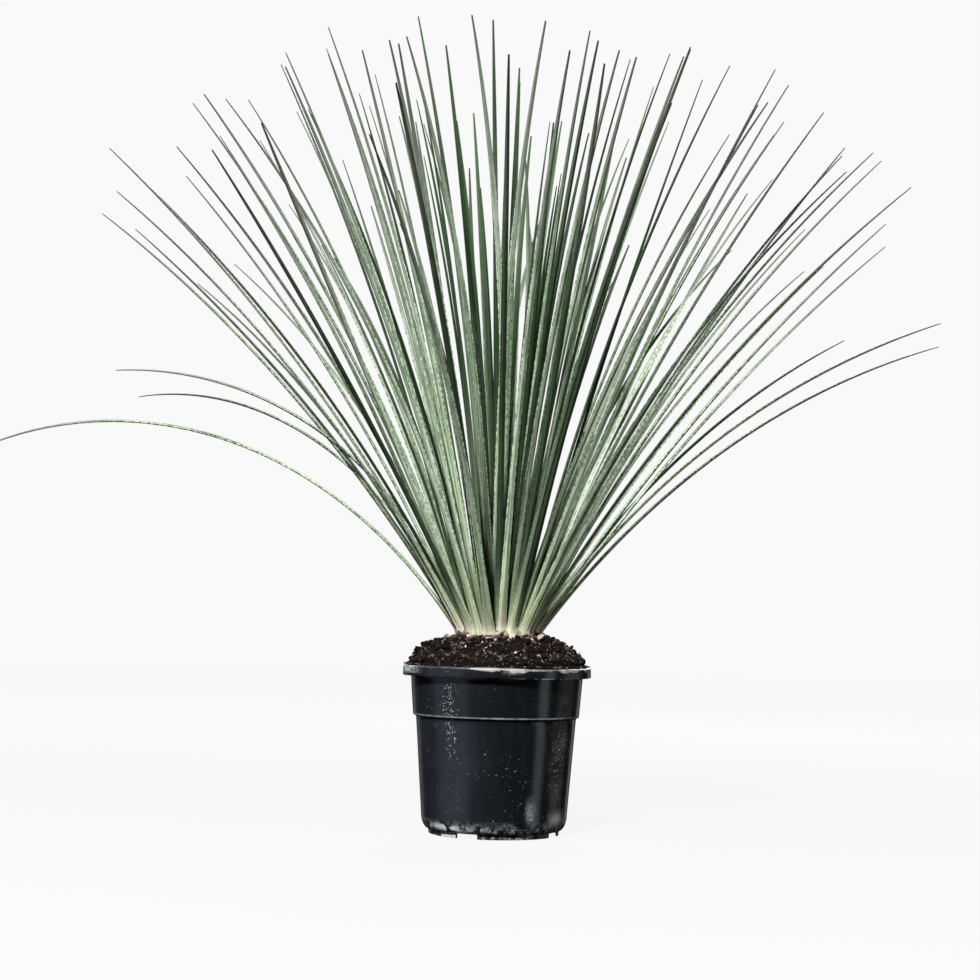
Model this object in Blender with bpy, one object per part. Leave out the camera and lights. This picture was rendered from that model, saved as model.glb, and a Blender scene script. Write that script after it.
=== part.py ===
"""Potted sotol (Mexican grass tree) in a black nursery pot.

Metres, +Z up. The origin is the centre of the pot's underside, on the surface that it stands on. -Y is the
front. The pot, the soil, the crown and each modelled leaf are separate solids, seated SEAT_GAP apart.
"""

import math
import random

import bmesh
import bpy
from mathutils import Matrix, Vector

SEAT_GAP = 0.0003  # between solids that rest on each other

# Pot: thin moulded plastic with a rolled lip, a stepped collar and a skirt that it stands on.
LIP_RADIUS = 0.095
POT_HEIGHT = 0.168
WALL = 0.0016
EDGE = 0.0006  # the small slopes that break its edges
LIP_DROP = 0.0100
COLLAR_TOP_RADIUS = 0.0869
COLLAR_FOOT_RADIUS = 0.0838
STEP_HEIGHT = 0.118
STEP_DROP = 0.0016
BODY_TOP_RADIUS = 0.0808
BODY_FOOT_RADIUS = 0.0735
CORNER_HEIGHT = 0.020
SKIRT_RADIUS = 0.0655
SKIRT_HEIGHT = 0.0045
FLOOR_UNDERSIDE = 0.0060
BOSS_RADIUS = 0.0140
POT_SEGMENTS = 48
DRAIN_HOLES = 8
DRAIN_RADIUS = 0.0045
DRAIN_CIRCLE = 0.0440
NOTCHES = 4
NOTCH_WIDTH = 0.0220
NOTCH_HEIGHT = 0.0050
NOTCH_TURN = math.radians(24)  # from the front, so that one notch shows at the left

# Soil: fills the pot, lies over the lip and rises to the crown.
MOUND_RADIUS = 0.0885
MOUND_EDGE = 0.172
MOUND_TOP = 0.1985
MOUND_STEEPENING = 3.5  # how much of its fall comes near the lip
MOUND_SEGMENTS = 48
MOUND_RINGS = 5
MOUND_WAVE = 0.0012  # depth of its dips, and how many go round it and out across it
WAVES_ROUND = 3
WAVE_TWISTS = 5
WAVE_PITCH = 0.042

# Crown: the short buried stem with a domed top that carries the leaves.
CROWN_RADIUS = 0.0430
CROWN_DOME = 0.0240
CROWN_BOTTOM = 0.1500
CROWN_WAIST = 0.86  # its radius at WAIST_SHARE of its buried height, as a share of the radius on top
WAIST_SHARE = 0.4
CROWN_ROOT = 0.55  # the same for its root end
CROWN_SEGMENTS = 32

# Rosette: leaves wind up the dome by the golden angle, the youngest at its top.
LEAVES = 57
GOLDEN_ANGLE = math.pi * (3 - math.sqrt(5))
DOME_REACH = math.radians(80)
LEAN_MAX = math.radians(38.5)
LEAN_POWER = 1.5  # above 1 it gathers the younger leaves towards the axis
FLATTENED = 0.12  # the rosette leans this much less to the front and back
LEAF_LENGTH = 0.588
PRIME_AGE = 0.53  # leaves are longest at this age
LENGTH_LOSS = 0.17  # away from it
GROWN_AGE = 0.45  # younger leaves are still growing
YOUNG_LOSS = 0.13  # what the very youngest still lacks, as a share of its length
BLADE_WIDTH = 0.0042
BASE_FLARE = 0.0045  # on the oldest leaves; the youngest have none
FLARE_REACH = 0.10  # as a share of the length
TIP_WIDTH = 0.0017
BLADE_THICKNESS = 0.55  # as a share of the width
BASE_BEND = math.radians(3)
AGE_BEND = math.radians(16.5)
BEND_POWER = 1.2
NEEDLE_POWER = 5  # how late the blade narrows
LEAF_STATIONS = 12
STATION_CROWDING = 1.25  # 1 would space them evenly; above it they crowd towards the base
SEAT_STEP = 0.0001  # each step that a base slides outwards until it is clear of the dome

# What chance adds to each leaf: from the least to the most.
AZIMUTH_CHANCE = (-2.5, 2.5)
LEAN_CHANCE = (-1.5, 1.5)
BEND_CHANCE = (-3, 5)
LENGTH_CHANCE = (-0.015, 0.015)  # as a share of the length

# Leaves that have sunk outwards, by number: (lean at the base, bend, length).
SUNK_LEAVES = {
    51: (36, 80, 0.610),
    38: (22, 73, 0.460),
    43: (31, 64, 0.530),
    55: (37, 36, 0.510),
    47: (36, 37, 0.505),
    42: (35, 27, 0.468),
}


def clear_scene():
    for obj in list(bpy.data.objects):
        bpy.data.objects.remove(obj, do_unlink=True)


def finish(name, colour, roughness):
    """A Principled material with one plain finish."""
    material = bpy.data.materials.new(name)
    material.use_nodes = True
    shader = material.node_tree.nodes["Principled BSDF"]
    shader.inputs["Base Color"].default_value = (*colour, 1)
    shader.inputs["Roughness"].default_value = roughness
    return material


def add_object(name, mesh, material=None):
    obj = bpy.data.objects.new(name, mesh)
    bpy.context.scene.collection.objects.link(obj)
    if material:
        mesh.materials.append(material)
    return obj


def turned_mesh(name, profile, segments):
    """The closed solid that a profile of (radius, height) points makes when it is spun about the Z axis."""
    form = bmesh.new()
    points = [form.verts.new((radius, 0, height)) for radius, height in profile]
    edges = [form.edges.new(pair) for pair in zip(points, points[1:])]
    bmesh.ops.spin(
        form,
        geom=points + edges,
        axis=(0, 0, 1),
        cent=(0, 0, 0),
        angle=2 * math.pi,
        steps=segments,
        use_merge=True,
    )
    bmesh.ops.remove_doubles(form, verts=form.verts, dist=1e-6)
    bmesh.ops.recalc_face_normals(form, faces=form.faces)
    mesh = bpy.data.meshes.new(name)
    form.to_mesh(mesh)
    form.free()
    mesh.shade_smooth()
    mesh.set_sharp_from_angle(angle=math.radians(35))
    return mesh


def round_corner(inset, floor):
    """The pot's lower corner from the body in to the floor, as points on a quarter ellipse."""
    centre = SKIRT_RADIUS + EDGE / 2 - inset / 2
    wide = BODY_FOOT_RADIUS - inset - centre
    high = CORNER_HEIGHT - floor
    turns = (math.radians(degrees) for degrees in (0, 30, 60, 90))
    return [(centre + wide * math.cos(turn), CORNER_HEIGHT - high * math.sin(turn)) for turn in turns]


def pot_outer_profile():
    """From the centre of the underside out to the lip's top."""
    skirt_inner = SKIRT_RADIUS - WALL
    lip_inner = LIP_RADIUS - WALL
    lip_foot = POT_HEIGHT - LIP_DROP
    flange = POT_HEIGHT - WALL
    return [
        (0, 0),
        (BOSS_RADIUS, 0),
        (BOSS_RADIUS + EDGE, FLOOR_UNDERSIDE),
        (skirt_inner - EDGE, FLOOR_UNDERSIDE),
        (skirt_inner, 0),
        (SKIRT_RADIUS, 0),
        *reversed(round_corner(0, SKIRT_HEIGHT)),
        (BODY_TOP_RADIUS, STEP_HEIGHT - STEP_DROP),
        (COLLAR_FOOT_RADIUS, STEP_HEIGHT),
        (COLLAR_TOP_RADIUS, lip_foot),
        (COLLAR_TOP_RADIUS, flange - EDGE),
        (COLLAR_TOP_RADIUS + EDGE, flange),
        (lip_inner - EDGE, flange),
        (lip_inner, flange - EDGE),
        (lip_inner, lip_foot + EDGE),
        (lip_inner + EDGE, lip_foot),
        (LIP_RADIUS, lip_foot + EDGE),
        (LIP_RADIUS, POT_HEIGHT - 3 * EDGE),
        (LIP_RADIUS - EDGE, POT_HEIGHT - EDGE),
        (LIP_RADIUS - 3 * EDGE, POT_HEIGHT),
    ]


def pot_inner_profile(gap=0.0):
    """From the top of the collar down to the centre of the floor, moved in by gap."""
    inset = WALL + gap
    floor = FLOOR_UNDERSIDE + inset
    return [
        (COLLAR_TOP_RADIUS - inset, POT_HEIGHT - LIP_DROP),
        (COLLAR_FOOT_RADIUS - inset, STEP_HEIGHT + STEP_DROP),
        (BODY_TOP_RADIUS - inset, STEP_HEIGHT),
        *round_corner(inset, floor),
        (0, floor),
    ]


def cut(obj, name, form):
    """Cuts the shapes in form out of obj, with a tool that isn't part of the model."""
    mesh = bpy.data.meshes.new(name)
    form.to_mesh(mesh)
    form.free()
    tool = add_object(name, mesh)
    tool.hide_render = True
    tool.display_type = "WIRE"
    modifier = obj.modifiers.new(name, "BOOLEAN")
    modifier.operation = "DIFFERENCE"
    modifier.solver = "EXACT"
    modifier.object = tool


def make_pot(material):
    neck = COLLAR_TOP_RADIUS - WALL
    rim = [(neck + EDGE, POT_HEIGHT), (neck, POT_HEIGHT - EDGE)]
    profile = [*pot_outer_profile(), *rim, *pot_inner_profile()]
    pot = add_object("pot", turned_mesh("pot", profile, POT_SEGMENTS), material)
    front = -math.pi / 2 - NOTCH_TURN
    holes = bmesh.new()
    for index in range(DRAIN_HOLES):
        turn = Matrix.Rotation(front + index * 2 * math.pi / DRAIN_HOLES, 4, "Z")
        bmesh.ops.create_cone(
            holes,
            cap_ends=True,
            segments=16,
            radius1=DRAIN_RADIUS,
            radius2=DRAIN_RADIUS,
            depth=4 * WALL,
            matrix=turn @ Matrix.Translation((DRAIN_CIRCLE, 0, FLOOR_UNDERSIDE)),
        )
    cut(pot, "drain_hole_cutter", holes)
    notches = bmesh.new()
    for index in range(NOTCHES):
        turn = Matrix.Rotation(front + index * 2 * math.pi / NOTCHES, 4, "Z")
        block = Matrix.Diagonal((10 * WALL, NOTCH_WIDTH, 2 * NOTCH_HEIGHT, 1))
        bmesh.ops.create_cube(notches, size=1, matrix=turn @ Matrix.Translation((SKIRT_RADIUS, 0, 0)) @ block)
    cut(pot, "skirt_notch_cutter", notches)


def mound_height(radius):
    """Height of the soil's surface: nearly level round the crown, then falling ever faster to the lip."""
    return MOUND_EDGE + (MOUND_TOP - MOUND_EDGE) * (1 - (radius / MOUND_RADIUS) ** MOUND_STEEPENING)


def make_soil(material):
    """The soil, with a pocket for the crown. Its surface rolls a little, as poured soil does."""
    pocket = [(radius + SEAT_GAP, height) for radius, height in crown_side_profile()]
    pocket_rim = CROWN_RADIUS + SEAT_GAP
    steps = range(1, MOUND_RINGS + 1)
    radii = [pocket_rim + (MOUND_RADIUS - pocket_rim) * step / MOUND_RINGS for step in steps]
    mound = [(radius, mound_height(radius)) for radius in radii]
    over_lip = POT_HEIGHT + SEAT_GAP
    edge = [(MOUND_RADIUS, over_lip), (COLLAR_TOP_RADIUS - WALL - SEAT_GAP, over_lip)]
    profile = [(0, CROWN_BOTTOM - SEAT_GAP), *pocket, *mound, *edge, *pot_inner_profile(SEAT_GAP)]
    mesh = turned_mesh("potting_soil", profile, MOUND_SEGMENTS)
    for vertex in mesh.vertices:
        radius = math.hypot(vertex.co.x, vertex.co.y)
        if vertex.co.z > MOUND_EDGE + EDGE and pocket_rim + EDGE < radius:
            around = math.atan2(vertex.co.y, vertex.co.x)
            swirl = WAVE_TWISTS * around + 2 * math.pi * radius / WAVE_PITCH
            vertex.co.z -= MOUND_WAVE * (1 + math.sin(WAVES_ROUND * around) * math.cos(swirl))
    return add_object("potting_soil", mesh, material)


def crown_side_profile():
    """The buried side of the crown, from near its root end up to the soil's surface."""
    return [
        (CROWN_RADIUS * CROWN_ROOT, CROWN_BOTTOM),
        (CROWN_RADIUS * CROWN_WAIST, CROWN_BOTTOM + WAIST_SHARE * (MOUND_TOP - CROWN_BOTTOM)),
        (CROWN_RADIUS, MOUND_TOP),
    ]


def make_crown(material):
    dome = [
        (CROWN_RADIUS * math.cos(angle), MOUND_TOP + CROWN_DOME * math.sin(angle))
        for angle in (math.radians(degrees) for degrees in range(15, 91, 15))
    ]
    dome[-1] = (0, MOUND_TOP + CROWN_DOME)
    mesh = turned_mesh("crown", [(0, CROWN_BOTTOM), *crown_side_profile(), *dome], CROWN_SEGMENTS)
    return add_object("crown", mesh, material)


def leaf_habit(number):
    """How leaf `number` grows: (azimuth, age, lean, bend, length). Leaf 0 is the youngest; age ends at 1."""
    chance = random.Random(number)
    age = math.sqrt((number + 0.5) / LEAVES)
    azimuth = number * GOLDEN_ANGLE + math.radians(chance.uniform(*AZIMUTH_CHANCE))
    if number in SUNK_LEAVES:
        lean, bend, length = SUNK_LEAVES[number]
        return azimuth, age, math.radians(lean), math.radians(bend), length
    narrowing = 1 - FLATTENED * math.sin(azimuth) ** 2
    lean = LEAN_MAX * age**LEAN_POWER * narrowing + math.radians(chance.uniform(*LEAN_CHANCE))
    bend = BASE_BEND + AGE_BEND * age + math.radians(chance.uniform(*BEND_CHANCE))
    grown = 1 - YOUNG_LOSS * max(0, 1 - age / GROWN_AGE)
    length = grown * LEAF_LENGTH * (1 - LENGTH_LOSS * (age - PRIME_AGE) ** 2 + chance.uniform(*LENGTH_CHANCE))
    return azimuth, age, lean, bend, length


def leaf_width(share, age):
    """Width at a share of the length: a flared base, a blade that narrows slowly and a needle tip."""
    flare = BASE_FLARE * age * math.exp(-share / FLARE_REACH)
    return TIP_WIDTH + BLADE_WIDTH * (1 - share**NEEDLE_POWER) + flare


def leaf_frame(azimuth, lean):
    """The leaf's own directions at one place: along it, across the blade, and through its thickness."""
    outward = Vector((math.cos(azimuth), math.sin(azimuth), 0))
    along = outward * math.sin(lean) + Vector((0, 0, math.cos(lean)))
    across = Vector((-math.sin(azimuth), math.cos(azimuth), 0))
    return along, across, along.cross(across)


def ring(centre, width, across, through):
    """The four edges of a sotol leaf, which is nearly square in section."""
    wide, deep = across * width / 2, through * width / 2 * BLADE_THICKNESS
    return [centre + wide, centre + deep, centre - wide, centre - deep]


def clearance_of_crown(point):
    """How far a point above the soil lies outside the crown's dome."""
    flat = (point.x**2 + point.y**2) / CROWN_RADIUS**2
    high = (point.z - MOUND_TOP) ** 2 / CROWN_DOME**2
    return (math.sqrt(flat + high) - 1) * CROWN_DOME


def leaf_seat(azimuth, age, lean):
    """Where the leaf's base lies on the dome, slid outwards until its whole foot is clear."""
    along, across, through = leaf_frame(azimuth, lean)
    dome_angle = DOME_REACH * age
    seat = Vector((math.cos(azimuth), math.sin(azimuth), 0)) * CROWN_RADIUS * math.sin(dome_angle)
    seat.z = MOUND_TOP + CROWN_DOME * math.cos(dome_angle)
    while True:
        corners = ring(seat, leaf_width(0, age), across, through)
        sides = [(corners[i] + corners[i - 1]) / 2 for i in range(4)]
        if min(clearance_of_crown(point) for point in [seat, *corners, *sides]) >= SEAT_GAP:
            return seat
        seat = seat + along * SEAT_STEP


def make_leaf(number, material):
    azimuth, age, lean, bend, length = leaf_habit(number)
    centre = leaf_seat(azimuth, age, lean)
    form = bmesh.new()
    rings = []
    before = 0
    for station in range(LEAF_STATIONS):
        share = (station / (LEAF_STATIONS - 1)) ** STATION_CROWDING
        middle = lean + bend * ((share + before) / 2) ** BEND_POWER
        centre = centre + leaf_frame(azimuth, middle)[0] * length * (share - before)
        across, through = leaf_frame(azimuth, lean + bend * share**BEND_POWER)[1:]
        corners = ring(centre, leaf_width(share, age), across, through)
        rings.append([form.verts.new(corner) for corner in corners])
        before = share
    for lower, upper in zip(rings, rings[1:]):
        for i in range(4):
            form.faces.new((lower[i - 1], lower[i], upper[i], upper[i - 1]))
    form.faces.new(rings[0])
    form.faces.new(rings[-1])
    bmesh.ops.recalc_face_normals(form, faces=form.faces)
    name = f"leaf_{number + 1:02d}"
    mesh = bpy.data.meshes.new(name)
    form.to_mesh(mesh)
    form.free()
    return add_object(name, mesh, material)


def main():
    clear_scene()
    plastic = finish("pot_plastic", (0.020, 0.022, 0.026), 0.35)
    soil = finish("peat", (0.060, 0.042, 0.033), 0.95)
    stem = finish("stem_bark", (0.300, 0.260, 0.180), 0.80)
    leaf = finish("leaf_green", (0.260, 0.360, 0.250), 0.50)
    make_pot(plastic)
    make_soil(soil)
    make_crown(stem)
    for number in range(LEAVES):
        make_leaf(number, leaf)


main()
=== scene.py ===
import math
import random

import bmesh
import bpy
import numpy as np
from mathutils import Matrix, Vector, kdtree, noise


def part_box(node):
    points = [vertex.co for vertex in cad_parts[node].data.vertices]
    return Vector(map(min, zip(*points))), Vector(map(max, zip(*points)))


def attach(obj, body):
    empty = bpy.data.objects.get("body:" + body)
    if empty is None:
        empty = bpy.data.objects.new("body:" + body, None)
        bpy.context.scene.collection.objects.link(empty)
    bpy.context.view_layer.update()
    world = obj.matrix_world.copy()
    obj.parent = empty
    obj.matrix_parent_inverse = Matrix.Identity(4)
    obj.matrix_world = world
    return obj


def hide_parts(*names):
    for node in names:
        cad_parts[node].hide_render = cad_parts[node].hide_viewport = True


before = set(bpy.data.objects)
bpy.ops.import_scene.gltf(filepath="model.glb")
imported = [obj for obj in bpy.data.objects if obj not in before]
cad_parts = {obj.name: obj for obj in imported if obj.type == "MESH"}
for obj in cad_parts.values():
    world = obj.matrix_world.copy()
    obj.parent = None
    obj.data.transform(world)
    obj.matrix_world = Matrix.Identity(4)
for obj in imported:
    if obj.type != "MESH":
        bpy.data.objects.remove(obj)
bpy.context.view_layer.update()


# --------------------------------------------------------------------------------------------------------
# The pot: one thin moulding of black plastic, with a rolled lip, a stepped collar, a tapered body and a
# notched skirt that it stands on. It is scuffed, and hard water and wet soil have dried on it in specks,
# runs and crusts. Bloom and a painted sheen lighten its left side, and painted highlights run along the
# top of the lip and the step.
# --------------------------------------------------------------------------------------------------------

LIP_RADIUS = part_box("pot")[1].x
POT_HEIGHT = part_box("pot")[1].z
WALL = 0.0016
EDGE = 0.0006
LIP_DROP = 0.0100
LIP_ROUND = 0.0022
COLLAR_TOP_RADIUS = 0.0869
COLLAR_FOOT_RADIUS = 0.0838
STEP_HEIGHT = 0.118
STEP_DROP = 0.0016
BODY_TOP_RADIUS = 0.0808
BODY_FOOT_RADIUS = 0.0735
CORNER_HEIGHT = 0.020
SKIRT_RADIUS = 0.0655
SKIRT_HEIGHT = 0.0045
FLOOR_UNDERSIDE = 0.0060
BOSS_RADIUS = 0.0140
POT_SEGMENTS = 192
RING_SPACING = 0.005
POT_WARP = 0.0004
WARP_FINENESS = 18
DRAIN_HOLES = 8
DRAIN_RADIUS = 0.0045
DRAIN_CIRCLE = 0.0440
NOTCHES = 4
NOTCH_WIDTH = 0.0220
NOTCH_HEIGHT = 0.0050
NOTCH_TURN = math.radians(24)

BLACK_PLASTIC = (0.0022, 0.0031, 0.0037)
# The bluish grey of bloomed plastic, which also serves as a painted sheen on the left of the pot.
BLOOM_AND_SHEEN_PLASTIC = (0.0074, 0.0088, 0.0130)
DRIED_LIME = (0.360, 0.375, 0.390)
# The grey of dried mud, which also serves as a painted highlight along the lip and the step.
MUD_AND_HIGHLIGHT_GREY = (0.165, 0.156, 0.152)
SPECK_FINENESS = 800


def arc(centre, radii, start, end, steps):
    """Points (radius, height) on a part of an ellipse, with its angles in degrees."""
    turns = np.radians(np.linspace(start, end, steps + 1))
    return [(centre[0] + radii[0] * math.cos(turn), centre[1] + radii[1] * math.sin(turn)) for turn in turns]


def lower_corner(inset, floor, steps):
    """The pot's lower corner from the body in to the floor, moved in by inset."""
    centre = SKIRT_RADIUS + EDGE / 2 - inset / 2
    radii = (BODY_FOOT_RADIUS - inset - centre, CORNER_HEIGHT - floor)
    return arc((centre, CORNER_HEIGHT), radii, 0, -90, steps)


def pot_lining(gap):
    """Down the inside from the top of the collar to the centre of the floor, moved in by gap."""
    inset = WALL + gap
    floor = FLOOR_UNDERSIDE + inset
    return [
        (COLLAR_TOP_RADIUS - inset, POT_HEIGHT - LIP_DROP),
        (COLLAR_FOOT_RADIUS - inset, STEP_HEIGHT + STEP_DROP),
        (BODY_TOP_RADIUS - inset, STEP_HEIGHT),
        *lower_corner(inset, floor, 3),
        (0, floor),
    ]


def pot_profile():
    """Once round the wall: out along the underside, up the outside, over the lip and down the inside."""
    skirt_inner = SKIRT_RADIUS - WALL
    lip_inner = LIP_RADIUS - WALL
    lip_foot = POT_HEIGHT - LIP_DROP
    flange = POT_HEIGHT - WALL
    fine = EDGE / 2
    roll = WALL / 2
    return [
        (0, 0),
        *arc((BOSS_RADIUS - fine, fine), (fine, fine), -90, 0, 2),
        (BOSS_RADIUS + EDGE, FLOOR_UNDERSIDE),
        (skirt_inner - EDGE, FLOOR_UNDERSIDE),
        (skirt_inner, fine),
        (skirt_inner + fine, 0),
        *arc((SKIRT_RADIUS - fine, fine), (fine, fine), -90, 0, 2),
        *reversed(lower_corner(0, SKIRT_HEIGHT, 10)),
        (BODY_TOP_RADIUS, STEP_HEIGHT - STEP_DROP - EDGE),
        (BODY_TOP_RADIUS + fine, STEP_HEIGHT - STEP_DROP),
        *arc((COLLAR_FOOT_RADIUS - EDGE, STEP_HEIGHT + fine), (EDGE, EDGE), -80, 0, 4),
        (COLLAR_TOP_RADIUS, lip_foot),
        (COLLAR_TOP_RADIUS, flange - EDGE),
        (COLLAR_TOP_RADIUS + EDGE, flange),
        (lip_inner - EDGE, flange),
        (lip_inner, flange - EDGE),
        *arc((LIP_RADIUS - roll, lip_foot + roll), (roll, roll), -180, 0, 8),
        *arc((LIP_RADIUS - LIP_ROUND, POT_HEIGHT - LIP_ROUND), (LIP_ROUND, LIP_ROUND), 0, 90, 8),
        *arc((COLLAR_TOP_RADIUS - WALL + EDGE, POT_HEIGHT - EDGE), (EDGE, EDGE), 90, 180, 3),
        *pot_lining(0),
    ]


def with_rings(profile, spacing):
    """The profile with extra points along its long runs."""
    finer = [profile[0]]
    for start, end in zip(profile, profile[1:]):
        parts = max(1, round(math.dist(start, end) / spacing))
        for part in range(1, parts + 1):
            finer.append(tuple(a + (b - a) * part / parts for a, b in zip(start, end)))
    return finer


def turned(name, profile, segments):
    """The closed mesh that a profile of (radius, height) points makes when it is spun about the Z axis."""
    form = bmesh.new()
    points = [form.verts.new((radius, 0, height)) for radius, height in profile]
    edges = [form.edges.new(pair) for pair in zip(points, points[1:])]
    axis = {"axis": (0, 0, 1), "cent": (0, 0, 0), "angle": 2 * math.pi}
    bmesh.ops.spin(form, geom=points + edges, steps=segments, use_merge=True, **axis)
    bmesh.ops.remove_doubles(form, verts=form.verts, dist=1e-6)
    bmesh.ops.recalc_face_normals(form, faces=form.faces)
    mesh = bpy.data.meshes.new(name)
    form.to_mesh(mesh)
    form.free()
    return mesh


def place(name, mesh, material):
    """Puts a piece in the scene, where its mesh says."""
    piece = bpy.data.objects.new(name, mesh)
    bpy.context.scene.collection.objects.link(piece)
    mesh.materials.append(material)
    return piece


def cut(piece, form):
    """Cuts the shapes in form out of a piece for good."""
    mesh = bpy.data.meshes.new("cutter")
    form.to_mesh(mesh)
    form.free()
    cutter = bpy.data.objects.new("cutter", mesh)
    bpy.context.scene.collection.objects.link(cutter)
    modifier = piece.modifiers.new("cut", "BOOLEAN")
    modifier.operation = "DIFFERENCE"
    modifier.solver = "EXACT"
    modifier.object = cutter
    finished = bpy.data.meshes.new_from_object(piece.evaluated_get(bpy.context.evaluated_depsgraph_get()))
    piece.modifiers.clear()
    piece.data = finished
    bpy.data.objects.remove(cutter)


def drain_holes():
    form = bmesh.new()
    for index in range(DRAIN_HOLES):
        turn = Matrix.Rotation(-math.pi / 2 - NOTCH_TURN + index * 2 * math.pi / DRAIN_HOLES, 4, "Z")
        spot = turn @ Matrix.Translation((DRAIN_CIRCLE, 0, FLOOR_UNDERSIDE))
        size = {"segments": 32, "radius1": DRAIN_RADIUS, "radius2": DRAIN_RADIUS, "depth": 4 * WALL}
        bmesh.ops.create_cone(form, cap_ends=True, matrix=spot, **size)
    return form


def skirt_notches():
    form = bmesh.new()
    block = Matrix.Diagonal((10 * WALL, NOTCH_WIDTH, 2 * NOTCH_HEIGHT, 1))
    for index in range(NOTCHES):
        turn = Matrix.Rotation(-math.pi / 2 - NOTCH_TURN + index * 2 * math.pi / NOTCHES, 4, "Z")
        bmesh.ops.create_cube(form, size=1, matrix=turn @ Matrix.Translation((SKIRT_RADIUS, 0, 0)) @ block)
    return form


def warp(mesh):
    """Bends the thin wall a little, and its lip up and down, as such pots do in use."""
    for vertex in mesh.vertices:
        height = min(1, vertex.co.z / POT_HEIGHT)
        bulge = POT_WARP * height * noise.noise(vertex.co * WARP_FINENESS)
        vertex.co += Vector((vertex.co.x, vertex.co.y, 0)).normalized() * bulge
        if vertex.co.z > POT_HEIGHT - LIP_DROP - EDGE:
            around = math.atan2(vertex.co.y, vertex.co.x)
            vertex.co.z += POT_WARP * (math.sin(3 * around + 1) + 0.6 * math.sin(7 * around) - 1)


class Signal:
    """A value that changes over a surface. Arithmetic on signals adds the Math nodes that work it out."""

    def __init__(self, finish, socket):
        self.finish = finish
        self.socket = socket

    def __add__(self, other):
        return self.finish.maths("ADD", self, other)

    __radd__ = __add__

    def __mul__(self, other):
        return self.finish.maths("MULTIPLY", self, other)

    __rmul__ = __mul__

    def __sub__(self, other):
        return self.finish.maths("SUBTRACT", self, other)

    def __rsub__(self, other):
        return self.finish.maths("SUBTRACT", other, self)

    def __abs__(self):
        return self.finish.maths("ABSOLUTE", self)

    def rise(self, low, high):
        """0 up to low, 1 from high on, and a smooth rise between them."""
        sockets = {"Value": self, "From Min": low, "From Max": high}
        return self.finish.node("ShaderNodeMapRange", {"interpolation_type": "SMOOTHSTEP"}, sockets)

    def near(self, value, reach):
        """1 at a value, falling to 0 at reach away from it."""
        return 1 - abs(self - value).rise(0, reach)


class Finish:
    """The material of one real surface."""

    def __init__(self, name):
        self.material = bpy.data.materials.new(name)
        self.material.use_nodes = True
        self.nodes = self.material.node_tree.nodes
        self.links = self.material.node_tree.links
        self.shader = self.nodes["Principled BSDF"]

    def node(self, kind, settings, sockets, output=0):
        """Adds a node: its settings first, then the values or signals of its sockets."""
        node = self.nodes.new(kind)
        for name, value in settings.items():
            if name == "stops":
                self.set_stops(node.color_ramp.elements, value)
            else:
                setattr(node, name, value)
        for name, value in sockets.items():
            self.feed(node.inputs[name], value)
        return Signal(self, node.outputs[output])

    def set_stops(self, elements, stops):
        while len(elements) < len(stops):
            elements.new(1)
        for element, (position, colour) in zip(elements, stops):
            element.position = position
            element.color = (*colour, 1)

    def feed(self, socket, value):
        if isinstance(value, Signal):
            self.links.new(value.socket, socket)
        elif socket.type == "RGBA":
            socket.default_value = (*value, 1)
        else:
            socket.default_value = value

    def maths(self, operation, *values):
        return self.node("ShaderNodeMath", {"operation": operation}, dict(enumerate(values)))

    def blend(self, share, first, second):
        """A colour that goes from first to second as share goes from 0 to 1."""
        return self.node("ShaderNodeMix", {"data_type": "RGBA"}, {0: share, 6: first, 7: second}, output=2)

    def shades(self, share, stops):
        """A colour that runs through stops of (position, colour)."""
        return self.node("ShaderNodeValToRGB", {"stops": stops}, {0: share})

    def place(self):
        return self.node("ShaderNodeTexCoord", {}, {}, output="Object")

    def known(self, attribute):
        return self.node("ShaderNodeAttribute", {"attribute_name": attribute}, {}, output="Fac")

    def stretched(self, place, scale):
        return self.node("ShaderNodeVectorMath", {"operation": "MULTIPLY"}, {0: place, 1: scale})

    def mottle(self, place, scale, detail=2.0, roughness=0.5):
        """Soft random patches from 0 to 1, `scale` of them to the metre."""
        sockets = {"Vector": place, "Scale": scale, "Detail": detail, "Roughness": roughness}
        return self.node("ShaderNodeTexNoise", {}, sockets)

    def surface(self, colour, roughness, relief, depth, shine=0.5):
        """Sets the shader. relief runs from 0 to 1 and stands for depth in metres; plain plastic's shine
        is 0.5."""
        bump = self.node("ShaderNodeBump", {}, {"Height": relief, "Distance": depth})
        values = {"Base Color": colour, "Roughness": roughness, "Normal": bump, "Specular IOR Level": shine}
        for name, value in values.items():
            self.feed(self.shader.inputs[name], value)
        return self.material


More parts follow.
